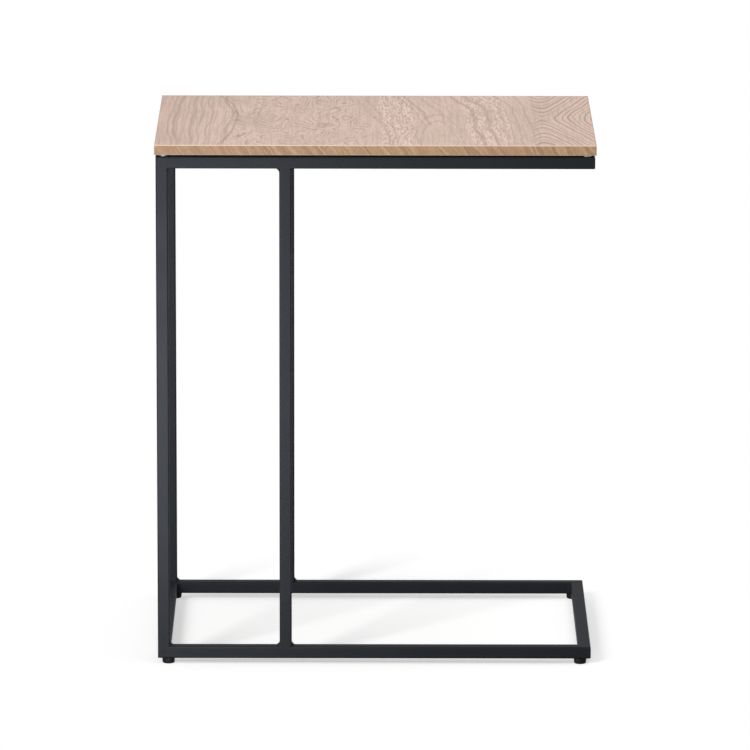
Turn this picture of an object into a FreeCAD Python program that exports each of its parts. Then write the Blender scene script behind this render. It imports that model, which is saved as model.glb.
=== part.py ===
"""C shaped side table: a laminated board on a welded frame of square steel tube, on four screw-in feet.

Millimetres, +Z up. The origin is on the floor, under the middle of the table. The frame's two posts stand
at the left (-X), the open side of the C faces right (+X), and the front is -Y.
"""

import FreeCAD, Part
import math
import os

from FreeCAD import Placement, Rotation, Vector

# Overall sizes
table_width = 540.0
table_depth = 340.0
table_height = 655.0
top_overhang = 1.5  # the board stands past the frame by this much all round
post_bay_width = 136.0  # clear width between a left post and its inner post

# Square tube of the frame
tube_size = 15.0
tube_wall = 1.2
tube_corner_radius = 1.8
cope_share = 0.85  # of the corner radius: how far a butted tube's end wraps the tube it meets

# Weld beads in the inner corners
weld_leg = 4.5
weld_throat_share = 0.4  # where the bead's hollow face crosses the corner's bisector, as a share of the leg

# Board: core, two sheets and four edge bands
core_thickness = 12.0
sheet_thickness = 0.3
band_thickness = 1.0
band_bevel = 0.5

# Clear bumpers between board and frame
bumper_diameter = 10.0
bumper_height = 2.2
bumper_inset = 9.5  # from the frame's end to the bumper's centre

# Screws that hold the board: each head stands inside a top rail, under the tube's upper wall
screw_diameter = 4.0
screw_head_diameter = 8.0
screw_head_height = 2.6
screw_inset = 45.0  # from the frame's end to the screw
screw_bite_share = 0.65  # of the core: how deep the screw goes into it
screw_hole_clearance = 0.25
access_hole_clearance = 0.5  # round the head, in the tube's lower wall
pilot_clearance = 0.02

# Feet: a moulded pad on a threaded stud, in a nut welded inside the base rail
foot_inset = 13.0  # from the frame's end to the foot's axis
pad_height = 7.0
pad_diameter = 16.0
pad_sole_diameter = 13.0
pad_edge_height = 3.0  # where the pad's side begins to draw in to the sole
stud_diameter = 6.0
stud_headroom = 1.8  # left between the stud's tip and the roof of the tube
stud_floor = 2.0  # thickness of the pad under the stud
nut_width = 10.0  # across the flats
nut_height = 5.0
running_clearance = 0.05
stud_hole_clearance = 0.5

cut_overrun = 2.0

# Places worked out from the sizes
board_thickness = core_thickness + 2 * sheet_thickness
board_bottom = table_height - board_thickness
rail_top = board_bottom - bumper_height
rail_bottom = rail_top - tube_size
screw_seat = rail_top - tube_wall
base_bottom = pad_height
base_top = base_bottom + tube_size

half_tube = tube_size / 2
frame_left = top_overhang - table_width / 2
frame_right = -frame_left
frame_front = top_overhang - table_depth / 2
frame_back = -frame_front
left_line = frame_left + half_tube
right_line = frame_right - half_tube
front_line = frame_front + half_tube
back_line = frame_back - half_tube
top_line = rail_top - half_tube
base_line = base_bottom + half_tube
inner_post_left = frame_left + tube_size + post_bay_width
inner_post_right = inner_post_left + tube_size
inner_line = inner_post_left + half_tube

cope_reach = tube_corner_radius * cope_share
bead_length = tube_size - 2 * tube_corner_radius
stud_reach = tube_size - tube_wall - stud_headroom
screw_length = tube_wall + bumper_height + sheet_thickness + core_thickness * screw_bite_share

RIGHT, LEFT = Vector(1, 0, 0), Vector(-1, 0, 0)
BACK, FRONT = Vector(0, 1, 0), Vector(0, -1, 0)
UP, DOWN = Vector(0, 0, 1), Vector(0, 0, -1)

# Each panel of the frame: its name, the line its tubes lie on, and the way to the other panel
panels = (("front", front_line, BACK), ("back", back_line, FRONT))
levels = (("top", top_line), ("base", base_line))
ends = (("left", frame_left, RIGHT), ("right", frame_right, LEFT))


def rounded_square(size, radius):
    """A square face with rounded corners, centred on the origin in the XY plane."""
    flat = size / 2 - radius
    reach = size / 2
    middle = flat + radius * math.cos(math.radians(45))
    edges = []
    for quarter in range(4):
        turn = Rotation(UP, 90 * quarter)
        side = Part.LineSegment(turn.multVec(Vector(reach, -flat, 0)), turn.multVec(Vector(reach, flat, 0)))
        corner = Part.Arc(
            turn.multVec(Vector(reach, flat, 0)),
            turn.multVec(Vector(middle, middle, 0)),
            turn.multVec(Vector(flat, reach, 0)),
        )
        edges += [side.toShape(), corner.toShape()]
    return Part.Face(Part.Wire(edges))


def tube_outline(start, end):
    """The tube's outside as a solid bar from start to end: what other tubes are fitted against."""
    run = end - start
    bar = rounded_square(tube_size, tube_corner_radius).extrude(UP * run.Length)
    bar.Placement = Placement(start, Rotation(UP, run))
    return bar


def hollowed(outline, start, end):
    """The outline with the tube's bore taken out along the whole run."""
    run, bore_size = end - start, tube_size - 2 * tube_wall
    corner = Vector(-bore_size / 2, -bore_size / 2, -cut_overrun)
    bore = Part.makeBox(bore_size, bore_size, run.Length + 2 * cut_overrun, corner)
    bore.Placement = Placement(start, Rotation(UP, run))
    return outline.cut(bore)


def mitred(outline, corner, along_self, along_other):
    """Cuts a bar's end at the mitre with another bar. Both directions point away from the corner."""
    reach = 2 * tube_size
    block = Part.makeBox(2 * reach, 2 * reach, reach, Vector(-reach, -reach, 0))
    block.Placement = Placement(corner, Rotation(UP, along_other - along_self))
    return outline.cut(block)


def turned(outline):
    """A solid of revolution about Z from a closed outline of (radius, height) points."""
    points = [Vector(radius, 0, height) for radius, height in outline]
    profile = Part.Face(Part.makePolygon(points + points[:1]))
    return profile.revolve(Vector(0, 0, 0), UP, 360)


def moved(shape, place):
    """A copy of the shape with its origin at the place."""
    copy = shape.copy()
    copy.translate(place)
    return copy


def drilled(shape, radius, depth, places):
    """Drills upright holes of one depth, each starting at its place."""
    for place in places:
        shape = shape.cut(Part.makeCylinder(radius, depth, place))
    return shape


def wall_drilled(tube, holes):
    """Drills a tube's walls upright. Each kind of hole has a radius and its places on the wall's lower face."""
    for radius, places in holes:
        starts = [place + DOWN * cut_overrun for place in places]
        tube = drilled(tube, radius, tube_wall + 2 * cut_overrun, starts)
    return tube


def at_corners(inset, height):
    """The four places at one inset from the frame's ends, on the lines of the front and back tubes."""
    places = {}
    for panel, line, _ in panels:
        for end, edge, inward in ends:
            places[panel + "_" + end] = Vector(edge, line, height) + inward * inset
    return places


def panel_outlines(line, inward):
    """The outlines and runs of one C panel's left post and two rails, mitred at their corners."""
    outlines = {}
    post_start, post_end = Vector(left_line, line, base_bottom), Vector(left_line, line, rail_top)
    post = tube_outline(post_start, post_end)
    for level, height in levels:
        away = DOWN if level == "top" else UP
        left_corner, right_corner = Vector(left_line, line, height), Vector(right_line, line, height)
        post = mitred(post, left_corner, away, RIGHT)
        start, end = Vector(frame_left, line, height), Vector(frame_right, line, height)
        rail = mitred(tube_outline(start, end), left_corner, RIGHT, away)
        rail = mitred(rail, right_corner, LEFT, inward)
        outlines[level + "_rail"] = (rail, start, end)
    outlines["left_post"] = (post, post_start, post_end)
    return outlines


def inner_post(line, rails):
    """The post butted between a panel's rails, its ends coped to the rails' rounded edges."""
    start = Vector(inner_line, line, base_top - cope_reach)
    end = Vector(inner_line, line, rail_bottom + cope_reach)
    return hollowed(tube_outline(start, end), start, end).cut(rails)


def right_crossbar(height):
    """The crossbar at the open side, mitred into the front and back rails."""
    start, end = Vector(right_line, frame_front, height), Vector(right_line, frame_back, height)
    bar = mitred(tube_outline(start, end), Vector(right_line, front_line, height), BACK, LEFT)
    bar = mitred(bar, Vector(right_line, back_line, height), FRONT, LEFT)
    return hollowed(bar, start, end)


def left_crossbar(height, corners):
    """The crossbar between the two left corners, its ends coped to them."""
    start = Vector(left_line, frame_front + tube_size - cope_reach, height)
    end = Vector(left_line, frame_back - tube_size + cope_reach, height)
    return hollowed(tube_outline(start, end), start, end).cut(corners)


def weld_bead(corner, along_one, along_other):
    """A hollow-faced fillet bead in an inner corner, as long as the tubes' flats."""
    toe_one, toe_other = corner + along_one * weld_leg, corner + along_other * weld_leg
    throat = corner + (along_one + along_other) * (weld_leg * weld_throat_share)
    edges = [
        Part.LineSegment(toe_other, corner).toShape(),
        Part.LineSegment(corner, toe_one).toShape(),
        Part.Arc(toe_one, throat, toe_other).toShape(),
    ]
    run = along_one.cross(along_other) * bead_length
    section = Part.Face(Part.Wire(edges))
    section.translate(run * -0.5)
    return section.extrude(run)


def panel_welds(line):
    """The beads in the inner corners of one C panel."""
    beads = []
    for height, away in ((rail_bottom, DOWN), (base_top, UP)):
        for face, outward in (
            (frame_left + tube_size, RIGHT),
            (inner_post_left, LEFT),
            (inner_post_right, RIGHT),
        ):
            beads.append(weld_bead(Vector(face, line, height), outward, away))
    return Part.makeCompound(beads)


def crossbar_welds(height):
    """The beads in the four inner corners of the top or base rectangle."""
    beads = []
    for _, edge, inward in ends:
        for face, away in ((frame_front + tube_size, BACK), (frame_back - tube_size, FRONT)):
            beads.append(weld_bead(Vector(edge, face, height) + inward * tube_size, inward, away))
    return Part.makeCompound(beads)


def board_layer(thickness, bottom):
    """One layer of the board, inside its edge bands."""
    width, depth = table_width - 2 * band_thickness, table_depth - 2 * band_thickness
    return Part.makeBox(width, depth, thickness, Vector(-width / 2, -depth / 2, bottom))


def edge_band(length, middle, outward):
    """A band on one edge of the board. Its two outer edges are bevelled."""
    bevel = min(band_bevel, band_thickness)
    band = Part.makeBox(length, band_thickness, board_thickness, Vector(-length / 2, -band_thickness, 0))
    long_edges = [edge for edge in band.Edges if edge.BoundBox.XLength > length / 2]
    outer_edges = [edge for edge in long_edges if edge.CenterOfMass.y > -band_thickness / 2]
    band = band.makeChamfer(bevel, outer_edges)
    band.Placement = Placement(middle, Rotation(BACK, outward))
    return band


def bumpers():
    """The four clear discs that the board rests on."""
    radius = bumper_diameter / 2
    places = at_corners(bumper_inset, rail_top).values()
    return Part.makeCompound([Part.makeCylinder(radius, bumper_height, place) for place in places])


def board_screw():
    """A flat-ended screw pointing up, the seat of its head at the origin."""
    head, shank = screw_head_diameter / 2, screw_diameter / 2
    return turned(
        [
            (0, -screw_head_height),
            (head, -screw_head_height),
            (head, 0),
            (shank, 0),
            (shank, screw_length),
            (0, screw_length),
        ]
    )


def foot_stud():
    """The threaded stud at its outside diameter. The origin is on the foot's sole."""
    length = pad_height + stud_reach - stud_floor
    return Part.makeCylinder(stud_diameter / 2, length, UP * stud_floor)


def foot_pad():
    """The moulded pad: a straight side drawn in to the sole, and a blind socket for the stud."""
    rim, sole = pad_diameter / 2, pad_sole_diameter / 2
    socket, floor = stud_diameter / 2 + running_clearance, stud_floor - running_clearance
    return turned(
        [
            (0, 0),
            (sole, 0),
            (rim, pad_edge_height),
            (rim, pad_height),
            (socket, pad_height),
            (socket, floor),
            (0, floor),
        ]
    )


def weld_nut():
    """A hexagon nut, its flats facing the tube's side walls."""
    corner = nut_width / 2 / math.cos(math.radians(30))
    points = [Rotation(UP, 60 * turn).multVec(RIGHT) * corner for turn in range(7)]
    nut = Part.Face(Part.makePolygon(points)).extrude(UP * nut_height)
    bore_radius = stud_diameter / 2 + running_clearance
    return drilled(nut, bore_radius, nut_height + 2 * cut_overrun, [DOWN * cut_overrun])


def frame_parts(stud_places, screw_places):
    """The twelve tubes of the frame and their weld beads."""
    parts = {}
    corners = {level: [] for level, _ in levels}
    access_places = [Vector(place.x, place.y, rail_bottom) for place in screw_places]
    holes = {
        "base": [(stud_diameter / 2 + stud_hole_clearance, stud_places)],
        "top": [
            (screw_diameter / 2 + screw_hole_clearance, screw_places),
            (screw_head_diameter / 2 + access_hole_clearance, access_places),
        ],
    }
    for panel, line, inward in panels:
        outlines = panel_outlines(line, inward)
        rails = [outlines["top_rail"][0], outlines["base_rail"][0]]
        for name, (outline, start, end) in outlines.items():
            parts[panel + "_" + name] = hollowed(outline, start, end)
        for level, _ in levels:
            rail = panel + "_" + level + "_rail"
            parts[rail] = wall_drilled(parts[rail], holes[level])
            corners[level] += [outlines[level + "_rail"][0], outlines["left_post"][0]]
        parts[panel + "_inner_post"] = inner_post(line, rails)
        parts[panel + "_frame_welds"] = panel_welds(line)
    for level, height in levels:
        crossbars = {"left": left_crossbar(height, corners[level]), "right": right_crossbar(height)}
        for side, bar in crossbars.items():
            parts[level + "_" + side + "_crossbar"] = wall_drilled(bar, holes[level])
        parts[level + "_crossbar_welds"] = crossbar_welds(height)
    return parts


def board_parts(screw_places):
    """The board's core, sheets and edge bands."""
    core_bottom = board_bottom + sheet_thickness
    pilot = screw_diameter / 2 + pilot_clearance
    starts = [Vector(place.x, place.y, board_bottom - cut_overrun) for place in screw_places]
    depth = screw_length - tube_wall - bumper_height + cut_overrun
    parts = {
        "tabletop_core": drilled(board_layer(core_thickness, core_bottom), pilot, depth, starts),
        "tabletop_backing_sheet": drilled(board_layer(sheet_thickness, board_bottom), pilot, depth, starts),
        "tabletop_face_sheet": board_layer(sheet_thickness, core_bottom + core_thickness),
    }
    side_length = table_depth - 2 * band_thickness
    for name, outward, half, length in (
        ("front", FRONT, table_depth / 2, table_width),
        ("back", BACK, table_depth / 2, table_width),
        ("left", LEFT, table_width / 2, side_length),
        ("right", RIGHT, table_width / 2, side_length),
    ):
        middle = outward * half + UP * board_bottom
        parts["tabletop_" + name + "_edge_band"] = edge_band(length, middle, outward)
    return parts


def table_parts():
    """Every piece of the table by its name."""
    foot_places = at_corners(foot_inset, 0)
    stud_places = [place + UP * base_bottom for place in foot_places.values()]
    screw_places = list(at_corners(screw_inset, screw_seat).values())
    parts = frame_parts(stud_places, screw_places)
    parts.update(board_parts(screw_places))
    for corner, place in foot_places.items():
        parts[corner + "_foot_pad"] = moved(foot_pad(), place)
        parts[corner + "_foot_stud"] = moved(foot_stud(), place)
    screws = [moved(board_screw(), place) for place in screw_places]
    nuts = [moved(weld_nut(), place + UP * tube_wall) for place in stud_places]
    parts["tabletop_bumpers"] = bumpers()
    parts["tabletop_screws"] = Part.makeCompound(screws)
    parts["foot_weld_nuts"] = Part.makeCompound(nuts)
    return parts


os.makedirs("parts", exist_ok=True)
for name, shape in table_parts().items():
    shape.exportStep("parts/" + name + ".step")
    print(name, "solids", len(shape.Solids), "valid", shape.isValid(), "volume", round(shape.Volume, 1))
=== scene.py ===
"""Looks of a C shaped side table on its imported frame. Metres, +Z up, the front faces -Y."""
import math

import bmesh
import bpy
from bpy.props import FloatProperty, FloatVectorProperty, IntProperty, PointerProperty
from mathutils import Matrix, Vector


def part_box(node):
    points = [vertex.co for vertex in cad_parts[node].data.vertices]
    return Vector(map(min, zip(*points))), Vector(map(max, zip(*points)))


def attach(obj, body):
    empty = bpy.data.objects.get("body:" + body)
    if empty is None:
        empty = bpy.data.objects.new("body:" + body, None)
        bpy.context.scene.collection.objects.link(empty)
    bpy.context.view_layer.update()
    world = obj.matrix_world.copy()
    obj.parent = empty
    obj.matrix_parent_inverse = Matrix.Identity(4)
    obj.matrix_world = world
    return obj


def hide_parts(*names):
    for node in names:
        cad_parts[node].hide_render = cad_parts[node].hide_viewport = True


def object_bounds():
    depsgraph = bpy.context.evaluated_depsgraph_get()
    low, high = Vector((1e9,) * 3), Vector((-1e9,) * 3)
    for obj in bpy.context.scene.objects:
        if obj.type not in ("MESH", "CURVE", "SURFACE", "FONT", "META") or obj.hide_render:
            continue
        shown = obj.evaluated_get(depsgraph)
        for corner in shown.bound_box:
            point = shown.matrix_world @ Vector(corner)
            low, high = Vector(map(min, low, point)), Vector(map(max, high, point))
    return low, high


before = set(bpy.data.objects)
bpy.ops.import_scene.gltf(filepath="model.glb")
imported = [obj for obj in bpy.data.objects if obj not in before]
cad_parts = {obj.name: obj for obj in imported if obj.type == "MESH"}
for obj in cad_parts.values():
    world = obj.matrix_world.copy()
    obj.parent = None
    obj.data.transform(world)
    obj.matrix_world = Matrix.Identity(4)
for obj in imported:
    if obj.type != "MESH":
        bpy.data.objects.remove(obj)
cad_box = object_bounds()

bl_info = {
    "name": "C Shaped Side Table",
    "version": (1, 0, 0),
    "blender": (4, 5, 0),
    "location": "View3D > Sidebar > Side Table",
    "description": (
        "Dresses a C shaped side table: wood print board, powder coated tube frame, levelling feet"
    ),
    "category": "Object",
}

MM = 0.001
FULL_TURN = 2 * math.pi
QUARTER_TURN = math.pi / 2
SHARP_ANGLE = math.radians(35)
SCREW_SEGMENTS = 48
STUD_SEGMENTS = 40
PHOTO_PIXELS = 750
SENSOR_WIDTH_MM = 36.0
CAMERA_CLIP = (0.1, 100)
FLOOR_RADIUS = 4.0
FLOOR_SEGMENTS = 96

SIDES = ("front", "back")
ENDS = ("left", "right")
LEVELS = ("top", "base")
CORNERS = ("front_left", "front_right", "back_left", "back_right")
PANEL_TUBES = ("top_rail", "base_rail", "left_post", "inner_post")
TUBES = (
    [f"{side}_{tube}" for side in SIDES for tube in PANEL_TUBES]
    + [f"{level}_{end}_crossbar" for level in LEVELS for end in ENDS]
)


def linear(red, green, blue):
    """A colour written in 0 to 255 steps, as the linear values that shaders take."""
    def channel(step):
        share = step / 255
        return share / 12.92 if share <= 0.04045 else ((share + 0.055) / 1.055) ** 2.4
    return channel(red), channel(green), channel(blue)


def colour_property(name, description, steps):
    """A colour that a user can change, given in 0 to 255 steps."""
    return FloatVectorProperty(
        name=name, description=description, default=linear(*steps), size=3, min=0, max=1,
        subtype="COLOR",
    )


def length_property(name, description, millimetres):
    """A length that a user can change, given in millimetres."""
    return FloatProperty(
        name=name, description=description, default=millimetres * MM, min=0, unit="LENGTH"
    )


def share_property(name, description, share):
    """A share from 0 to 1 that a user can change."""
    return FloatProperty(
        name=name, description=description, default=share, min=0, max=1, subtype="FACTOR"
    )


def angle_property(name, description, degrees):
    """An angle that a user can change, given in degrees."""
    return FloatProperty(
        name=name, description=description, default=math.radians(degrees), subtype="ANGLE"
    )


def power_property(name, description, watts):
    """A lamp's power that a user can change, in watts."""
    return FloatProperty(name=name, description=description, default=watts, min=0, unit="POWER")


def place_property(name, description, place):
    """A place in the scene that a user can change, in metres."""
    return FloatVectorProperty(
        name=name, description=description, default=place, size=3, subtype="TRANSLATION",
        unit="LENGTH",
    )


class SideTableFinishes(bpy.types.PropertyGroup):
    """Colours and gloss of the table's finishes"""

    wood_light: colour_property(
        "Wood, light", "Light grain of the board's face print", (212, 181, 162)
    )
    wood_pale: colour_property("Wood, pale", "Pale ground of the flecked grain", (228, 198, 180))
    wood_dark: colour_property("Wood, dark", "Dark grain of the board's face print", (150, 115, 98))
    wood_grey: colour_property(
        "Wood, grey", "Greyer patches of the board's face print", (189, 164, 143)
    )
    band_light: colour_property(
        "Edge band, light", "Light streaks of the edge band", (198, 165, 133)
    )
    band_dark: colour_property("Edge band, dark", "Dark streaks of the edge band", (157, 122, 94))
    band_red: colour_property("Edge band, red", "Reddish patches of the edge band", (181, 139, 114))
    # Pale arris colour: partly the band's trimmed edge, partly a painted highlight on the arris.
    band_arris: colour_property(
        "Edge band, arris", "Pale line where the band's arris is trimmed", (232, 208, 188)
    )
    coat: colour_property("Powder coat", "Slate powder coat of the tubes", (26, 28, 32))
    coat_light: colour_property(
        "Powder coat, light", "Lighter grains in the powder coat", (31, 33, 38)
    )
    core: colour_property("Board core", "Fibreboard between the sheets", (150, 118, 84))
    backing: colour_property("Backing sheet", "Sheet under the board", (202, 186, 164))
    bumper: colour_property("Bumper", "Clear bumpers between frame and board", (238, 241, 237))
    nylon: colour_property("Foot pad", "Black moulded nylon of the foot pads", (17, 17, 19))
    plating: colour_property("Plating", "Zinc plating of studs and nuts", (176, 178, 180))
    screw_plating: colour_property(
        "Screw plating", "Black plating of the board screws", (36, 37, 40)
    )
    coat_roughness: share_property("Powder coat roughness", "How matt the powder coat is", 0.6)
    wood_roughness: share_property("Wood roughness", "How matt the wood print is", 0.42)


class SideTableDetails(bpy.types.PropertyGroup):
    """Sizes of the small shapes that the solids leave plain"""

    arris_radius: length_property("Band arris", "Rounding of the edge band's outer arrises", 0.5)
    ripple_pitch: length_property(
        "Weld ripple pitch", "Distance between two ripples of a weld bead", 1.7
    )
    ripple_height: length_property("Weld ripple height", "Height of a weld bead's ripples", 0.16)
    bumper_diameter: length_property("Bumper diameter", "Diameter of a bumper", 10)
    bumper_rounding: length_property("Bumper rounding", "Rounding of a bumper's upper edge", 1.1)
    screw_head_diameter: length_property(
        "Screw head diameter", "Diameter of a board screw's head", 8
    )
    screw_head_height: length_property("Screw head height", "Height of a board screw's head", 2.6)
    screw_diameter: length_property("Screw diameter", "Diameter of a board screw's thread", 4)
    screw_pitch: length_property("Screw pitch", "Pitch of a board screw's thread", 1.4)
    stud_pitch: length_property("Stud pitch", "Pitch of a foot stud's thread", 1)
    pad_rounding: length_property("Pad rounding", "Rounding of a foot pad's sole edge", 1.1)
    pad_rim_rounding: length_property("Pad rim rounding", "Rounding of a foot pad's upper rim", 0.5)
    turned_segments: IntProperty(
        name="Turned segments", description="Facets round a turned piece", default=64, min=16,
        max=256,
    )


class SideTableStage(bpy.types.PropertyGroup):
    """Camera, lights and floor"""

    camera_place: place_property(
        "Camera place", "Where the camera stands", (-0.0138, -8.2944, 2.1884)
    )
    camera_pitch: angle_property("Camera pitch", "How far the camera looks down", 12.63)
    camera_yaw: angle_property("Camera yaw", "How far the camera turns to the right", 0.098)
    camera_roll: angle_property("Camera roll", "How far the camera leans", 0.116)
    camera_reach: FloatProperty(
        name="Camera reach", description="Focal length in pixels of the picture", default=6775.0,
        min=1,
    )
    overhead_power: power_property("Overhead light", "Power of the softbox over the table", 21)
    key_power: power_property("Key light", "Power of the softbox at the left front", 112)
    sheen_power: power_property(
        "Sheen light", "Power of the low softbox that only shows as gloss", 28
    )
    ambient: share_property("Ambient", "Light that comes from all around", 0.25)
    floor_lift: share_property("Floor lift", "White that the floor keeps in its shadows", 0.45)


class Field:
    """A node's output socket; arithmetic on it adds Math nodes."""

    def __init__(self, sheet, socket):
        self.sheet = sheet
        self.socket = socket

    def math(self, operation, *values):
        """What a Math node makes of the values."""
        return self.sheet.node("ShaderNodeMath", {"operation": operation}, dict(enumerate(values)))

    def output(self, name):
        """Another output of the same node."""
        return Field(self.sheet, self.socket.node.outputs[name])

    def __add__(self, other):
        return self.math("ADD", self, other)

    def __radd__(self, other):
        return self.math("ADD", other, self)

    def __sub__(self, other):
        return self.math("SUBTRACT", self, other)

    def __rsub__(self, other):
        return self.math("SUBTRACT", other, self)

    def __mul__(self, other):
        return self.math("MULTIPLY", self, other)

    def __rmul__(self, other):
        return self.math("MULTIPLY", other, self)

    def __truediv__(self, other):
        return self.math("DIVIDE", self, other)

    def __rtruediv__(self, other):
        return self.math("DIVIDE", other, self)

    def __abs__(self):
        return self.math("ABSOLUTE", self)

    def root(self):
        return self.math("SQRT", self)

    def sine(self):
        return self.math("SINE", self)

    def at_most(self, limit):
        return self.math("MINIMUM", self, limit)


class NodeSheet:
    """One node tree, filled from empty."""

    def __init__(self, tree):
        self.tree = tree
        tree.nodes.clear()

    def node(self, kind, settings=None, inputs=None, output=0):
        """Adds a node: first its settings, then the values or links of its sockets."""
        made = self.tree.nodes.new(kind)
        for key, value in (settings or {}).items():
            setattr(made, key, value)
        for key, value in (inputs or {}).items():
            if isinstance(value, Field):
                self.tree.links.new(value.socket, made.inputs[key])
            else:
                made.inputs[key].default_value = value
        return Field(self, made.outputs[output]) if made.outputs else None

    def place(self):
        """Where a point is on the table, in metres."""
        return self.node("ShaderNodeTexCoord", output="Object")

    def axes(self, place):
        """The x, y and z of a place."""
        x = self.node("ShaderNodeSeparateXYZ", inputs={"Vector": place}, output="X")
        return x, x.output("Y"), x.output("Z")

    def stretched(self, place, sizes):
        """The place counted in grains of the given sizes along x, y and z."""
        shares = tuple(1 / size for size in sizes)
        return self.node("ShaderNodeVectorMath", {"operation": "MULTIPLY"}, {0: place, 1: shares})

    def cloud(self, place, size, detail=2.0, roughness=0.5, distortion=0.0):
        """Soft noise, 0 to 1 about 0.5, with lumps of the given size."""
        return self.node(
            "ShaderNodeTexNoise", {"noise_dimensions": "3D"},
            {
                "Vector": place, "Scale": 1 / size, "Detail": detail, "Roughness": roughness,
                "Distortion": distortion,
            },
            output="Fac",
        )

    def grain(self, place, sizes, **settings):
        """Soft noise with lumps of the given sizes along x, y and z."""
        return self.cloud(self.stretched(place, sizes), 1, **settings)

    def bands(self, line, size, detail=2.0, roughness=0.5):
        """Soft noise along one line, with bands of the given size."""
        return self.node(
            "ShaderNodeTexNoise", {"noise_dimensions": "1D"},
            {"W": line, "Scale": 1 / size, "Detail": detail, "Roughness": roughness},
            output="Fac",
        )

    def step(self, value, low, high):
        """0 up to low, 1 from high, smooth between."""
        return self.node(
            "ShaderNodeMapRange", {"interpolation_type": "SMOOTHSTEP"},
            {"Value": value, "From Min": low, "From Max": high},
        )

    def blend(self, share, first, second):
        """The first colour, with the given share of the second over it."""
        ends = {6: first, 7: second}
        inputs = {key: end if isinstance(end, Field) else (*end, 1) for key, end in ends.items()}
        return self.node("ShaderNodeMix", {"data_type": "RGBA"}, {0: share, **inputs}, output=2)

    def within(self, value, opens, closes):
        """1 from the end of the first range to the start of the second, smooth at both."""
        return self.step(value, *opens) * (1 - self.step(value, *closes))

    def rings(self, count, thinness):
        """1 on thin lines, one for each whole step of the count."""
        return self.step((count * FULL_TURN).sine(), thinness, 1)

    def softened(self, value, softness):
        """The value's size, rounded off near zero."""
        return (value * value + softness * softness).root()

    def relief(self, height, depth, strength=0.5):
        """A normal for a relief of the given depth."""
        return self.node(
            "ShaderNodeBump", inputs={"Height": height, "Distance": depth, "Strength": strength}
        )


class Finish(NodeSheet):
    """A material with one main shader."""

    def __init__(self, name):
        self.material = bpy.data.materials.new(name)
        self.material.use_nodes = True
        super().__init__(self.material.node_tree)

    def main_shader(self, inputs):
        """Ends the material with a shader that has these values or links."""
        shader = self.node("ShaderNodeBsdfPrincipled", inputs=inputs)
        self.node("ShaderNodeOutputMaterial", inputs={"Surface": shader})
        return self.material


def finish_once(name, paint, *details):
    """The material of that name, painted the first time it is asked for."""
    finishes = bpy.context.scene.side_table_finishes
    return bpy.data.materials.get(name) or paint(Finish(name), finishes, *details)


def straight_figure(finish, x, sway, wander):
    """Straight grain of the board's left end."""
    line = x + sway * 0.05 + wander * 0.0015
    wide_pitch, narrow_pitch = 0.0065, 0.0036
    wide = finish.step(finish.bands(line, wide_pitch, detail=2.5, roughness=0.65), 0.42, 0.76)
    narrow = finish.step(finish.bands(x + wander * 0.001, narrow_pitch, detail=1), 0.45, 0.7)
    return wide * 0.75 + narrow * 0.25


def bent_line(finish, x, y, wander):
    """One dark line that bends along the board's depth, where the straight grain ends."""
    line_x, bow, half_depth = -0.172, 0.022, 0.17
    bend = y / half_depth
    off_line = x - line_x + bend * bend * bow + wander * 0.012
    return 1 - finish.step(abs(off_line), 0.0006, 0.0022)


def burl_figure(finish, place, x):
    """Broken contour lines round soft lumps."""
    lumps = finish.grain(place, (0.034, 0.085, 1), detail=1.5, roughness=0.4, distortion=0.3)
    broken = finish.step(finish.grain(place, (0.014, 0.04, 1)), 0.36, 0.6)
    lines_in_lump, drift, finer = 12, 0.05, 2.6
    contours = lumps * lines_in_lump + x / drift
    lines = finish.rings(contours, 0.6) * 0.8 + finish.rings(contours * finer, 0.55) * 0.4
    return lines * (broken * 0.65 + 0.35)


def slant_figure(finish, x, y, sway, wander):
    """Slanting grain that parts round an arch at the front edge."""
    lean, pitch = 0.13, 0.009
    line = x + y * lean + sway * 0.05 + wander * 0.008
    slant = finish.step(finish.bands(line, pitch, roughness=0.65), 0.46, 0.72)
    arch_x, front_y, half_width, rise = 0.078, -0.17, 0.021, 0.15
    across = (x - arch_x + wander * 0.01) / half_width
    along = (y - front_y) / rise
    size = (across * across + along * along).root()
    lines_in_arch = 3
    arch = finish.rings(size * lines_in_arch + wander, 0.35) * (1 - finish.step(size, 1.25, 1.6))
    past_arch = finish.step(size, 0.85, 1.15)
    return (slant * 0.65 + arch * 0.45) * past_arch


def crotch_figure(finish, x, y, sway, wander):
    """Lines that part to both sides of a forked stem."""
    middle_x, middle_y, pitch_x, pitch_y, softness = 0.208, 0.014, 0.0062, 0.019, 1.6
    across = finish.softened((x - middle_x) / pitch_x, softness)
    along = finish.softened((y - middle_y) / pitch_y, softness)
    growth = along - across + wander * 1.3 + sway * 1.2
    uneven = finish.bands(growth, 2.3, detail=1)
    weight = finish.step(finish.bands(growth, 1.1, detail=1), 0.2, 0.55)
    return finish.rings(growth + uneven * 1.8, 0.1) * (weight * 0.7 + 0.3)


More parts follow.
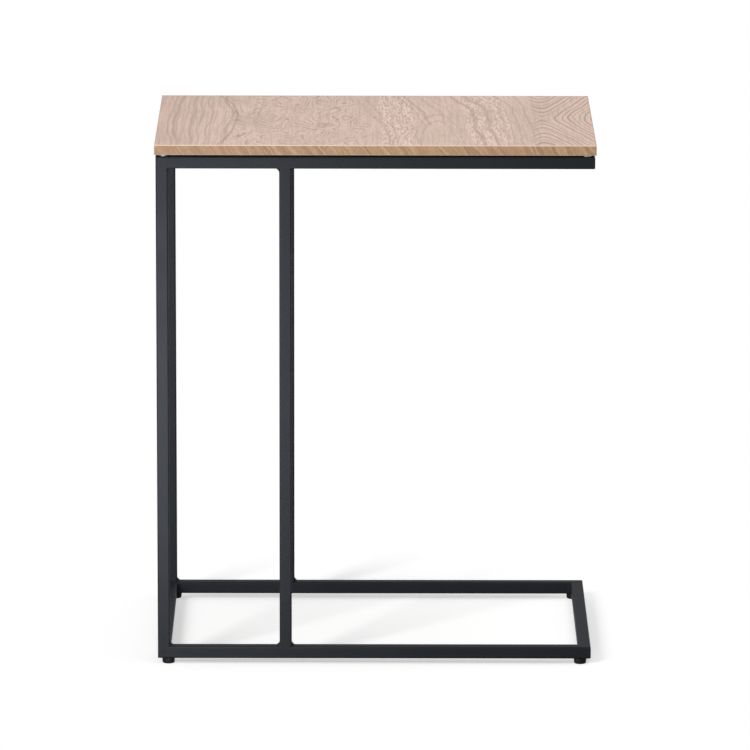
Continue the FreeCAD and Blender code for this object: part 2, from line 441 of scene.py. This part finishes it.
def paint_wood_face(finish, colours):
    """Pale wood print: straight grain, burl, slanting flecked grain and a crotch figure."""
    place = finish.place()
    x, y, _ = finish.axes(place)
    sway = finish.grain(place, (0.13, 0.16, 1), detail=0.5) - 0.5
    wander = finish.grain(place, (0.03, 0.06, 1)) - 0.5
    wavy_x = x + wander * 0.03
    burl_starts = finish.step(wavy_x, -0.19, -0.165)
    slant_starts = finish.step(wavy_x, -0.025, 0.015)
    crotch_starts = finish.step(x + wander * 0.006, 0.192, 0.2)
    figure = (
        straight_figure(finish, x, sway, wander) * (1 - burl_starts)
        + bent_line(finish, x, y, wander) * 0.7
        + burl_figure(finish, place, x) * burl_starts * (1 - slant_starts) * 1.1
        + slant_figure(finish, x, y, sway, wander) * slant_starts * (1 - crotch_starts)
        + crotch_figure(finish, x, y, sway, wander) * crotch_starts
    )

    flecks = finish.step(finish.grain(place, (0.0023, 0.015, 1), roughness=0.6), 0.47, 0.59)
    fleck_x = x + wander * 0.02 + y * 0.03
    first_field = finish.within(fleck_x, (0, 0.014), (0.042, 0.058))
    second_field = finish.within(fleck_x, (0.106, 0.12), (0.155, 0.172))
    flecked = first_field + second_field * 0.8
    streaks = finish.step(finish.grain(place, (0.0026, 0.09, 1), roughness=0.6), 0.42, 0.68)
    pores = finish.grain(place, (0.0008, 0.012, 1))
    patches = finish.step(finish.grain(place, (0.06, 0.1, 1)), 0.42, 0.66)
    left_end = 1 - finish.step(x + sway * 0.05, -0.265, -0.2)

    colour = finish.blend(patches * 0.5, colours.wood_light, colours.wood_grey)
    colour = finish.blend(flecked * 0.75, colour, colours.wood_pale)
    for share in (
        left_end * 0.16,
        figure * 0.85,
        flecks * (0.18 + flecked * 0.5),
        streaks * 0.3,
        finish.step(pores, 0.5, 0.75) * 0.2,
    ):
        colour = finish.blend(share, colour, colours.wood_dark)
    return finish.main_shader({
        "Base Color": colour,
        "Roughness": colours.wood_roughness + (pores - 0.5) * 0.14,
        "Normal": finish.relief(pores - figure * 0.3, 0.02 * MM),
    })


def wood_face_print():
    return finish_once("wood face print", paint_wood_face)


def paint_wood_edge(finish, colours, arris):
    """Tan edge band with slanting streaks; its arrises are paler where trimmed and carry a painted
    highlight, and its left end has painted shade.
    """
    low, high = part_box("tabletop_front_edge_band")
    place = finish.place()
    x, y, z = finish.axes(place)
    sway = finish.cloud(place, 0.03) - 0.5
    wander = finish.cloud(place, 0.006) - 0.5
    slant = x + y + z * 0.7 + sway * 0.016 + wander * 0.004
    wide = finish.bands(slant, 0.012, roughness=0.6)
    narrow = finish.bands(slant, 0.003)
    fine = finish.grain(place, (0.0014, 0.0014, 0.004))
    pores = finish.bands(slant + wander * 0.002, 0.0007, detail=1)
    patches = finish.step(finish.cloud(place, 0.035, detail=1), 0.45, 0.68)
    streaks = (
        0.53 + (wide - 0.5) * 0.85 + (narrow - 0.5) * 0.75
        + (fine - 0.5) * 0.6 + (pores - 0.5) * 0.35
    )
    # Painted shade: the band's print turns darker towards the left end, to offset the key light
    # falling brighter there.
    left_end = 1 - finish.step(x, -0.22, 0.06)
    light = finish.step(streaks - left_end * 0.17, 0.05, 0.95)
    # Painted highlight along the top and bottom arrises, laid over the paler trimmed edge.
    top_trim_and_highlight = finish.step(z, high.z - 1.4 * MM, high.z - 0.8 * MM)
    bottom_trim_and_highlight = 1 - finish.step(z, low.z + 0.4 * MM, low.z + 1 * MM)
    colour = finish.blend(light, colours.band_dark, colours.band_light)
    colour = finish.blend(patches * 0.35, colour, colours.band_red)
    colour = finish.blend(top_trim_and_highlight * 0.85 + bottom_trim_and_highlight * 0.45, colour, getattr(colours, arris))
    return finish.main_shader({
        "Base Color": colour,
        "Roughness": 0.55 + (fine - 0.5) * 0.16,
        "Normal": finish.relief(fine, 0.02 * MM),
        "Specular IOR Level": 0.05,
    })


def wood_edge_print(side):
    """The band's print; the long bands show pale arrises, the short ones greyer, both partly
    trimmed edge and partly painted highlight.
    """
    if side in SIDES:
        return finish_once("long edge print", paint_wood_edge, "band_arris")
    return finish_once("short edge print", paint_wood_edge, "wood_grey")


def paint_fibreboard(finish, colours):
    place = finish.place()
    fibres = finish.grain(place, (0.003, 0.003, 0.0006), detail=3)
    clumps = finish.cloud(place, 0.02)
    shade = finish.step(fibres * 0.7 + clumps * 0.3, 0.3, 0.7)
    return finish.main_shader({
        "Base Color": finish.blend(shade * 0.45, colours.core, colours.backing),
        "Roughness": 0.85 + (fibres - 0.5) * 0.15,
        "Normal": finish.relief(fibres, 0.1 * MM, 0.6),
    })


def fibreboard():
    return finish_once("fibreboard", paint_fibreboard)


def paint_backing_paper(finish, colours):
    place = finish.place()
    fibres = finish.grain(place, (0.0012, 0.008, 0.01), detail=3)
    clouds = finish.cloud(place, 0.06)
    shade = finish.step(fibres * 0.6 + clouds * 0.4, 0.35, 0.65)
    return finish.main_shader({
        "Base Color": finish.blend(shade * 0.6, colours.backing, colours.core),
        "Roughness": 0.6 + (fibres - 0.5) * 0.2,
        "Normal": finish.relief(fibres, 0.03 * MM),
    })


def backing_paper():
    return finish_once("backing paper", paint_backing_paper)


def paint_powder_coat(finish, colours):
    """Slate powder coat: fine orange peel, lighter grains and soft clouds."""
    place = finish.place()
    peel = finish.cloud(place, 0.0016, roughness=0.6)
    grains = finish.cloud(place, 0.0005, detail=1)
    clouds = finish.cloud(place, 0.05, detail=3)
    shade = finish.step(grains * 0.6 + clouds * 0.4, 0.38, 0.66)
    return finish.main_shader({
        "Base Color": finish.blend(shade, colours.coat, colours.coat_light),
        "Roughness": colours.coat_roughness + (clouds - 0.5) * 0.12 + (grains - 0.5) * 0.16,
        "Normal": finish.relief(peel + grains * 0.25, 0.06 * MM, 0.55),
        "Specular IOR Level": 0.06,
        "Specular Tint": (0.87, 0.91, 0.99, 1),
    })


def slate_powder_coat():
    return finish_once("slate powder coat", paint_powder_coat)


def paint_clear_rubber(finish, colours):
    haze = finish.cloud(finish.place(), 0.0022)
    return finish.main_shader({
        "Base Color": finish.blend(haze * 0.3, colours.bumper, (1, 1, 1)),
        "Roughness": 0.14 + haze * 0.16,
        "Normal": finish.relief(haze, 0.04 * MM),
        "Transmission Weight": 0.2,
        "IOR": 1.48,
    })


def clear_rubber():
    return finish_once("clear rubber", paint_clear_rubber)


def paint_nylon(finish, colours):
    place = finish.place()
    spark = finish.cloud(place, 0.0006)
    clouds = finish.cloud(place, 0.006)
    shade = finish.step(spark * 0.6 + clouds * 0.4, 0.4, 0.7)
    return finish.main_shader({
        "Base Color": finish.blend(shade * 0.6, colours.nylon, colours.coat),
        "Roughness": 0.55 + (clouds - 0.5) * 0.2,
        "Normal": finish.relief(spark, 0.05 * MM),
        "Specular IOR Level": 0.07,
    })


def black_nylon():
    return finish_once("black nylon", paint_nylon)


def paint_plating(finish, colours, ground, spangled):
    """Plated steel with faint spangle and turning lines, from the names of its two colours."""
    place = finish.place()
    spangle = finish.cloud(place, 0.0025, detail=3)
    lines = finish.grain(place, (0.004, 0.004, 0.0003))
    shade = finish.step(spangle, 0.35, 0.7) * 0.5
    return finish.main_shader({
        "Base Color": finish.blend(shade, getattr(colours, ground), getattr(colours, spangled)),
        "Metallic": 1.0,
        "Roughness": 0.28 + (spangle - 0.5) * 0.25 + (lines - 0.5) * 0.15,
        "Normal": finish.relief(lines, 0.01 * MM),
    })


def zinc_plating():
    return finish_once("zinc plating", paint_plating, "plating", "wood_grey")


def black_plating():
    return finish_once("black plating", paint_plating, "screw_plating", "coat_light")


def dress(node, material):
    """Gives a solid of the frame its finish."""
    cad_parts[node].material_slots[0].material = material


def new_piece(name, shape, material, body, replaced):
    """Adds points and faces as a piece that rides a body and stands for the given nodes."""
    points, faces = shape
    mesh = bpy.data.meshes.new(name)
    mesh.from_pydata(points, [], faces)
    work = bmesh.new()
    work.from_mesh(mesh)
    bmesh.ops.recalc_face_normals(work, faces=work.faces)
    work.to_mesh(mesh)
    work.free()
    place_piece(name, mesh, material, body, replaced)


def place_piece(name, mesh, material, body, replaced):
    """Adds a mesh as a piece that rides a body and stands for the given nodes."""
    mesh.shade_smooth()
    mesh.set_sharp_from_angle(angle=SHARP_ANGLE)
    mesh.materials.append(material)
    piece = bpy.data.objects.new(name, mesh)
    bpy.context.scene.collection.objects.link(piece)
    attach(piece, body)
    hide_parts(*replaced)


def turned(rows, centre, segments):
    """Points and faces of rows turned about the upright line through centre, closed on the axis.

    A row is a radius, or a radius for each angle, and a height. The first and last radius are zero.
    """
    points = []
    rings = []
    for radius, height in rows:
        if radius == 0:
            rings.append([len(points)])
            points.append((centre.x, centre.y, height))
            continue
        rings.append(list(range(len(points), len(points) + segments)))
        for step in range(segments):
            angle = FULL_TURN * step / segments
            reach = radius(angle) if callable(radius) else radius
            points.append((
                centre.x + reach * math.cos(angle), centre.y + reach * math.sin(angle), height
            ))
    faces = []
    for lower, upper in zip(rings, rings[1:]):
        for step in range(segments):
            after = (step + 1) % segments
            corners = [
                lower[step % len(lower)], lower[after % len(lower)],
                upper[after % len(upper)], upper[step % len(upper)],
            ]
            faces.append(list(dict.fromkeys(corners)))
    return points, faces


def joined(shapes):
    """One list of points and faces out of several."""
    points = []
    faces = []
    for shape_points, shape_faces in shapes:
        faces += [[len(points) + index for index in face] for face in shape_faces]
        points += shape_points
    return points, faces


def rounding(centre_radius, centre_height, radius, from_angle, to_angle, steps=6):
    """Rows along an arc of an outline, angles from the outward direction upwards."""
    rows = []
    for step in range(steps + 1):
        angle = from_angle + (to_angle - from_angle) * step / steps
        rows.append((
            centre_radius + radius * math.cos(angle), centre_height + radius * math.sin(angle)
        ))
    return rows


def thread_rows(bottom, top, radius, pitch, depth, runout):
    """Rows of a threaded length whose crests fade out at both ends."""
    steps_per_turn = 10
    crest_slope = 1.25  # over 1, so that the crests come out flat
    rows = []
    count = math.ceil((top - bottom) / pitch * steps_per_turn)
    for step in range(count + 1):
        height = bottom + (top - bottom) * step / count
        fade = min(1, (height - bottom) / runout, (top - height) / runout)

        def reach(angle, height=height, fade=fade):
            phase = (height / pitch - angle / FULL_TURN) % 1
            crest = 1 - abs(2 * phase - 1)
            return radius - depth * (1 - min(1, crest * crest_slope) * max(fade, 0))
        rows.append((reach, height))
    return rows


def box_corners(node, inset):
    """The four plan corners of a node's box, moved inwards."""
    low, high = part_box(node)
    return [
        Vector((x, y, low.z))
        for x in (low.x + inset, high.x - inset)
        for y in (low.y + inset, high.y - inset)
    ]


def node_axis(node):
    """The middle of a turned node's foot, its radius and its height."""
    low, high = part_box(node)
    foot = Vector(((low.x + high.x) / 2, (low.y + high.y) / 2, low.z))
    return foot, (high.x - low.x) / 2, high.z - low.z


def edge_band(side, radius):
    """A band of the board's edge with rounded outer arrises."""
    low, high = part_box(f"tabletop_{side}_edge_band")
    long_axis = 0 if side in SIDES else 1
    across = 1 - long_axis
    outer = low[across] if side in ("front", "left") else high[across]
    slack = radius / 100

    def on_outer_face(edge):
        return all(abs(end.co[across] - outer) < slack for end in edge.verts)

    def runs_along(edge):
        first, second = edge.verts
        return abs(first.co[long_axis] - second.co[long_axis]) > radius

    work = bmesh.new()
    bmesh.ops.create_cube(work, size=1)
    for corner in work.verts:
        corner.co = Vector(low[axis] if corner.co[axis] < 0 else high[axis] for axis in range(3))
    outer_edges = [
        edge for edge in work.edges
        if on_outer_face(edge) and (side in SIDES or runs_along(edge))
    ]
    bmesh.ops.bevel(
        work, geom=outer_edges, offset=radius, segments=5, profile=0.5, affect="EDGES"
    )
    mesh = bpy.data.meshes.new(f"{side}_edge_band")
    work.to_mesh(mesh)
    work.free()
    return mesh


def weld_bead(corner, first, second, leg, length, details):
    """Points and faces of a rippled fillet along both walls of an inner corner."""
    run = first.cross(second)
    outward = (first + second).normalized()
    across_steps = 12
    steps_per_ripple = 8
    along_steps = steps_per_ripple * math.ceil(length / details.ripple_pitch)
    throat_share = 0.3  # of the leg: where the hollow face's control point lies
    end_share = 0.2  # of the length: how far each end tapers
    end_swell = 0.45  # share of the leg that an end keeps
    ripple_lag = 0.45  # share of a ripple by which its sides trail its middle
    points = []
    rows = []
    for along_step in range(along_steps + 1):
        along = along_step / along_steps
        end = min(1, along / end_share, (1 - along) / end_share)
        swell = end_swell + (1 - end_swell) * math.sqrt(1 - (1 - end) ** 2)
        middle = corner + run * length * (along - 0.5)
        row = [len(points)]
        points.append(middle)
        for across_step in range(across_steps + 1):
            share = across_step / across_steps
            one = (1 - share) ** 2 + 2 * share * (1 - share) * throat_share
            other = share ** 2 + 2 * share * (1 - share) * throat_share
            lag = ripple_lag * (2 * share - 1) ** 2
            wave = math.cos(FULL_TURN * (along * length / details.ripple_pitch - lag))
            lift = details.ripple_height * (0.5 + 0.5 * wave) * math.sin(math.pi * share) * end
            row.append(len(points))
            points.append(middle + (first * one + second * other) * leg * swell + outward * lift)
        rows.append(row)
    faces = [list(rows[0]), list(reversed(rows[-1]))]
    count = across_steps + 2
    for lower, upper in zip(rows, rows[1:]):
        for step in range(count):
            after = (step + 1) % count
            faces.append([lower[step], upper[step], upper[after], lower[after]])
    return points, faces


def panel_weld_corners(side):
    """Inner corners of a C panel with the directions of their two walls."""
    rail_low, rail_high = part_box(f"{side}_base_rail")
    line_y = (rail_low.y + rail_high.y) / 2
    base_z = rail_high.z
    top_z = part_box(f"{side}_top_rail")[0].z
    left_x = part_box(f"{side}_left_post")[1].x
    inner_low, inner_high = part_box(f"{side}_inner_post")
    return [
        (Vector((x, line_y, z)), Vector((away, 0, 0)), Vector((0, 0, upright)))
        for x, away in ((left_x, 1), (inner_low.x, -1), (inner_high.x, 1))
        for z, upright in ((base_z, 1), (top_z, -1))
    ]


def crossbar_weld_corners(level):
    """Inner plan corners of the frame's top or base with the directions of their two walls."""
    front_low, front_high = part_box(f"front_{level}_rail")
    line_z = (front_low.z + front_high.z) / 2
    back_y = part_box(f"back_{level}_rail")[0].y
    left_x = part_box(f"{level}_left_crossbar")[1].x
    right_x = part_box(f"{level}_right_crossbar")[0].x
    return [
        (Vector((x, y, line_z)), Vector((away, 0, 0)), Vector((0, inwards, 0)))
        for x, away in ((left_x, 1), (right_x, -1))
        for y, inwards in ((front_high.y, 1), (back_y, -1))
    ]


def cross_recess(length, half_width):
    """Radius of a cross shaped driver recess at each angle."""
    def reach(angle):
        off_arm = (angle + QUARTER_TURN / 2) % QUARTER_TURN - QUARTER_TURN / 2
        return min(length, half_width / max(abs(math.sin(off_arm)), half_width / length))
    return reach


class SIDETABLE_OT_board_sheets(bpy.types.Operator):
    """Gives the board's core and its two sheets their finishes"""

    bl_idname = "side_table.board_sheets"
    bl_label = "Board sheets"

    def execute(self, context):
        dress("tabletop_face_sheet", wood_face_print())
        dress("tabletop_core", fibreboard())
        dress("tabletop_backing_sheet", backing_paper())
        return {"FINISHED"}


class SIDETABLE_OT_edge_bands(bpy.types.Operator):
    """Builds the four edge bands of the board with rounded arrises"""

    bl_idname = "side_table.edge_bands"
    bl_label = "Edge bands"

    def execute(self, context):
        radius = context.scene.side_table_details.arris_radius
        for side in SIDES + ENDS:
            place_piece(
                f"{side}_edge_band", edge_band(side, radius), wood_edge_print(side), "table",
                [f"tabletop_{side}_edge_band"],
            )
        return {"FINISHED"}


class SIDETABLE_OT_frame_tubes(bpy.types.Operator):
    """Gives the frame's rails, posts and crossbars their powder coat"""

    bl_idname = "side_table.frame_tubes"
    bl_label = "Frame tubes"

    def execute(self, context):
        for tube in TUBES:
            dress(tube, slate_powder_coat())
        return {"FINISHED"}


class SIDETABLE_OT_weld_beads(bpy.types.Operator):
    """Builds the rippled weld beads in the frame's inner corners"""

    bl_idname = "side_table.weld_beads"
    bl_label = "Weld beads"

    def execute(self, context):
        details = context.scene.side_table_details
        panel_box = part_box("front_frame_welds")
        leg = panel_box[1].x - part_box("front_inner_post")[1].x
        length = panel_box[1].y - panel_box[0].y
        groups = [(f"{side}_frame_welds", panel_weld_corners(side)) for side in SIDES]
        groups += [(f"{level}_crossbar_welds", crossbar_weld_corners(level)) for level in LEVELS]
        for node, corners in groups:
            beads = joined([weld_bead(*corner, leg, length, details) for corner in corners])
            new_piece(f"{node}_beads", beads, slate_powder_coat(), "table", [node])
        return {"FINISHED"}


class SIDETABLE_OT_bumpers(bpy.types.Operator):
    """Builds the clear bumpers between the frame and the board"""

    bl_idname = "side_table.bumpers"
    bl_label = "Bumpers"

    def execute(self, context):
        details = context.scene.side_table_details
        low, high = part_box("tabletop_bumpers")
        radius = details.bumper_diameter / 2
        round_radius = details.bumper_rounding
        rows = [(0, low.z), (radius, low.z), (radius, high.z - round_radius)]
        shoulder = radius - round_radius
        rows += rounding(shoulder, high.z - round_radius, round_radius, 0, QUARTER_TURN)[1:]
        rows += [(0, high.z)]
        centres = box_corners("tabletop_bumpers", radius)
        discs = joined([turned(rows, centre, details.turned_segments) for centre in centres])
        new_piece(
            "corner_bumpers", discs, clear_rubber(), "table", ["tabletop_bumpers"]
        )
        return {"FINISHED"}


class SIDETABLE_OT_board_screws(bpy.types.Operator):
    """Builds the screws that hold the board, with cross recess and thread"""

    bl_idname = "side_table.board_screws"
    bl_label = "Board screws"

    def execute(self, context):
        details = context.scene.side_table_details
        low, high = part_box("tabletop_screws")
        head_radius = details.screw_head_diameter / 2
        shank_radius = details.screw_diameter / 2
        seat = low.z + details.screw_head_height
        recess_depth = 0.65 * details.screw_head_height
        brim = 0.3 * head_radius
        crown = 0.68 * head_radius
        recess_mouth = cross_recess(0.55 * head_radius, 0.13 * head_radius)
        recess_floor = cross_recess(0.38 * head_radius, 0.09 * head_radius)
        point_length = 0.9 * details.screw_diameter
        thread_depth = 0.24 * shank_radius
        rows = [(0, low.z + recess_depth), (recess_floor, low.z + recess_depth)]
        rows += [(recess_mouth, low.z), (crown, low.z)]
        rows += rounding(crown, low.z + brim, brim, -QUARTER_TURN, 0)[1:]
        rows += [(head_radius, low.z + brim), (head_radius, seat), (shank_radius, seat)]
        rows += thread_rows(
            seat, high.z - point_length, shank_radius, details.screw_pitch, thread_depth,
            details.screw_pitch,
        )[1:]
        rows += [(0, high.z)]
        centres = box_corners("tabletop_screws", head_radius)
        screws = joined([turned(rows, centre, SCREW_SEGMENTS) for centre in centres])
        new_piece(
            "board_screws", screws, black_plating(), "table", ["tabletop_screws"]
        )
        return {"FINISHED"}


class SIDETABLE_OT_foot_pads(bpy.types.Operator):
    """Builds the four foot pads with rounded soles"""

    bl_idname = "side_table.foot_pads"
    bl_label = "Foot pads"

    def execute(self, context):
        details = context.scene.side_table_details
        for corner in CORNERS:
            centre, radius, height = node_axis(f"{corner}_foot_pad")
            stud_centre, stud_radius, _ = node_axis(f"{corner}_foot_stud")
            sole_round = details.pad_rounding
            rim_round = details.pad_rim_rounding
            sole_radius = 0.93 * radius
            side_lean = -math.radians(5)
            dish_radius = 0.56 * radius
            dish_depth = 0.06 * height
            socket_radius = 1.02 * stud_radius
            socket_floor = stud_centre.z - 0.01 * height
            rows = [(0, dish_depth), (dish_radius, dish_depth), (dish_radius + dish_depth, 0)]
            rows += rounding(
                sole_radius - sole_round, sole_round, sole_round, -QUARTER_TURN, side_lean
            )
            rows += rounding(
                radius - rim_round, height - rim_round, rim_round, side_lean, QUARTER_TURN
            )
            rows += [(socket_radius, height), (socket_radius, socket_floor), (0, socket_floor)]
            new_piece(
                f"{corner}_pad", turned(rows, centre, details.turned_segments), black_nylon(),
                f"{corner}_pad", [f"{corner}_foot_pad"],
            )
        return {"FINISHED"}


class SIDETABLE_OT_foot_studs(bpy.types.Operator):
    """Builds the threaded studs of the four feet and plates the nuts that they turn in"""

    bl_idname = "side_table.foot_studs"
    bl_label = "Foot studs"

    def execute(self, context):
        details = context.scene.side_table_details
        for corner in CORNERS:
            centre, radius, height = node_axis(f"{corner}_foot_stud")
            pitch = details.stud_pitch
            thread_depth = 0.61 * pitch
            top = centre.z + height
            rows = [(0, centre.z)]
            rows += thread_rows(centre.z, top, radius, pitch, thread_depth, pitch)
            rows += [(0, top)]
            new_piece(
                f"{corner}_stud", turned(rows, centre, STUD_SEGMENTS), zinc_plating(),
                f"{corner}_stud", [f"{corner}_foot_stud"],
            )
        dress("foot_weld_nuts", zinc_plating())
        return {"FINISHED"}


def add_softbox(name, place, target, size, power):
    """A rectangular lamp at a place, turned to a target."""
    lamp = bpy.data.lights.new(name, "AREA")
    lamp.shape = "RECTANGLE"
    lamp.size, lamp.size_y = size
    lamp.energy = power
    holder = bpy.data.objects.new(name, lamp)
    holder.location = place
    holder.rotation_euler = (Vector(target) - Vector(place)).to_track_quat("-Z", "Y").to_euler()
    holder.visible_camera = False
    bpy.context.scene.collection.objects.link(holder)
    return holder


def seen_rays(sheet):
    """1 for the rays that show the backdrop: to the camera, off gloss and through clear pieces."""
    camera = sheet.node("ShaderNodeLightPath", output="Is Camera Ray")
    total = camera + camera.output("Is Glossy Ray") + camera.output("Is Transmission Ray")
    return total.at_most(1.0)


def add_floor(stage):
    """A pale floor that keeps the table's shadow and runs out into white."""
    front_grey, back_grey, bounce_grey = 0.66, 0.84, 0.6
    front_y, back_y = -0.5, 0.5
    white_from, white_to = 0.25, 0.44
    angles = [FULL_TURN * step / FLOOR_SEGMENTS for step in range(FLOOR_SEGMENTS)]
    rim = [(FLOOR_RADIUS * math.cos(angle), FLOOR_RADIUS * math.sin(angle), 0) for angle in angles]
    mesh = bpy.data.meshes.new("studio_floor")
    mesh.from_pydata(rim, [], [list(range(FLOOR_SEGMENTS))])
    floor = bpy.data.objects.new("studio_floor", mesh)
    bpy.context.scene.collection.objects.link(floor)
    finish = Finish("studio floor")
    place = finish.place()
    distance = finish.node(
        "ShaderNodeVectorMath", {"operation": "LENGTH"}, {0: place}, output="Value"
    )
    _, depth, _ = finish.axes(place)
    front, back, bounce = (
        finish.node("ShaderNodeBsdfDiffuse", inputs={"Color": (grey, grey, grey, 1)})
        for grey in (front_grey, back_grey, bounce_grey)
    )
    evened = finish.step(depth, front_y, back_y)  # paler at the back, where less light falls
    matt = finish.node("ShaderNodeMixShader", inputs={0: evened, 1: front, 2: back})
    lift = finish.node("ShaderNodeEmission", inputs={"Strength": stage.floor_lift})
    near = finish.node("ShaderNodeAddShader", inputs={0: matt, 1: lift})
    white = finish.node("ShaderNodeEmission", inputs={"Strength": 1.0})
    far = finish.step(distance, white_from, white_to)
    shown = finish.node("ShaderNodeMixShader", inputs={0: far, 1: near, 2: white})
    lit = finish.node("ShaderNodeMixShader", inputs={0: seen_rays(finish), 1: bounce, 2: shown})
    clear = finish.node("ShaderNodeBsdfTransparent")
    below = finish.node("ShaderNodeNewGeometry", output="Backfacing")
    surface = finish.node("ShaderNodeMixShader", inputs={0: below, 1: lit, 2: clear})
    finish.node("ShaderNodeOutputMaterial", inputs={"Surface": surface})
    mesh.materials.append(finish.material)


def add_world(stage):
    """White to the eye and to gloss, softer as a light."""
    world = bpy.data.worlds.new("studio")
    bpy.context.scene.world = world
    world.use_nodes = True
    sheet = NodeSheet(world.node_tree)
    soft, white = (
        sheet.node("ShaderNodeBackground", inputs={"Color": (1, 1, 1, 1), "Strength": strength})
        for strength in (stage.ambient, 1.0)
    )
    surface = sheet.node("ShaderNodeMixShader", inputs={0: seen_rays(sheet), 1: soft, 2: white})
    sheet.node("ShaderNodeOutputWorld", inputs={"Surface": surface})


def add_camera(stage):
    """A camera that stands where the photo was taken from."""
    camera = bpy.data.cameras.new("photo_camera")
    camera.sensor_width = SENSOR_WIDTH_MM
    camera.lens = stage.camera_reach / PHOTO_PIXELS * SENSOR_WIDTH_MM
    camera.clip_start, camera.clip_end = CAMERA_CLIP
    pitch, yaw, roll = stage.camera_pitch, stage.camera_yaw, stage.camera_roll
    forward = Vector((
        math.sin(yaw) * math.cos(pitch), math.cos(yaw) * math.cos(pitch), -math.sin(pitch)
    ))
    level = Vector((math.cos(yaw), -math.sin(yaw), 0))
    upright = level.cross(forward)
    right = level * math.cos(roll) + upright * math.sin(roll)
    up = upright * math.cos(roll) - level * math.sin(roll)
    holder = bpy.data.objects.new("photo_camera", camera)
    turn = Matrix((right, up, -forward)).transposed().to_4x4()
    holder.matrix_world = Matrix.Translation(stage.camera_place) @ turn
    bpy.context.scene.collection.objects.link(holder)
    bpy.context.scene.camera = holder


class SIDETABLE_OT_stage(bpy.types.Operator):
    """Sets up the floor, the lights and the camera"""

    bl_idname = "side_table.stage"
    bl_label = "Stage"

    def execute(self, context):
        stage = context.scene.side_table_stage
        add_floor(stage)
        add_world(stage)
        add_camera(stage)
        table_middle = (cad_box[0] + cad_box[1]) / 2
        left_post_middle = (-0.25, -0.17, 0.34)
        add_softbox(
            "overhead_softbox", (0.5, -0.2, 2.6), table_middle, (2.4, 1.8), stage.overhead_power
        )
        add_softbox(
            "key_softbox", (-2.0, -2.75, 2.4), table_middle, (0.95, 1.9), stage.key_power
        )
        sheen = add_softbox(
            "sheen_softbox", (-0.34, -0.74, 0.29), left_post_middle, (0.3, 0.58), stage.sheen_power
        )
        sheen.visible_diffuse = False
        context.scene.view_settings.view_transform = "Standard"
        return {"FINISHED"}


OPERATORS = (
    SIDETABLE_OT_board_sheets,
    SIDETABLE_OT_edge_bands,
    SIDETABLE_OT_frame_tubes,
    SIDETABLE_OT_weld_beads,
    SIDETABLE_OT_bumpers,
    SIDETABLE_OT_board_screws,
    SIDETABLE_OT_foot_pads,
    SIDETABLE_OT_foot_studs,
    SIDETABLE_OT_stage,
)


class SIDETABLE_PT_pieces(bpy.types.Panel):
    """Lists the table's settings and pieces"""

    bl_idname = "SIDETABLE_PT_pieces"
    bl_label = "C Shaped Side Table"
    bl_space_type = "VIEW_3D"
    bl_region_type = "UI"
    bl_category = "Side Table"

    def draw(self, context):
        for settings in (
            context.scene.side_table_finishes,
            context.scene.side_table_details,
            context.scene.side_table_stage,
        ):
            box = self.layout.box()
            for key in settings.__annotations__:
                box.prop(settings, key)
        for operator in OPERATORS:
            self.layout.operator(operator.bl_idname)


CLASSES = (SideTableFinishes, SideTableDetails, SideTableStage, *OPERATORS, SIDETABLE_PT_pieces)


def register():
    for entry in CLASSES:
        bpy.utils.register_class(entry)
    bpy.types.Scene.side_table_finishes = PointerProperty(type=SideTableFinishes)
    bpy.types.Scene.side_table_details = PointerProperty(type=SideTableDetails)
    bpy.types.Scene.side_table_stage = PointerProperty(type=SideTableStage)


def unregister():
    del bpy.types.Scene.side_table_stage
    del bpy.types.Scene.side_table_details
    del bpy.types.Scene.side_table_finishes
    for entry in reversed(CLASSES):
        bpy.utils.unregister_class(entry)


def main():
    register()
    bpy.ops.side_table.board_sheets()
    bpy.ops.side_table.edge_bands()
    bpy.ops.side_table.frame_tubes()
    bpy.ops.side_table.weld_beads()
    bpy.ops.side_table.bumpers()
    bpy.ops.side_table.board_screws()
    bpy.ops.side_table.foot_pads()
    bpy.ops.side_table.foot_studs()
    bpy.ops.side_table.stage()


if __name__ == "__main__":
    main()
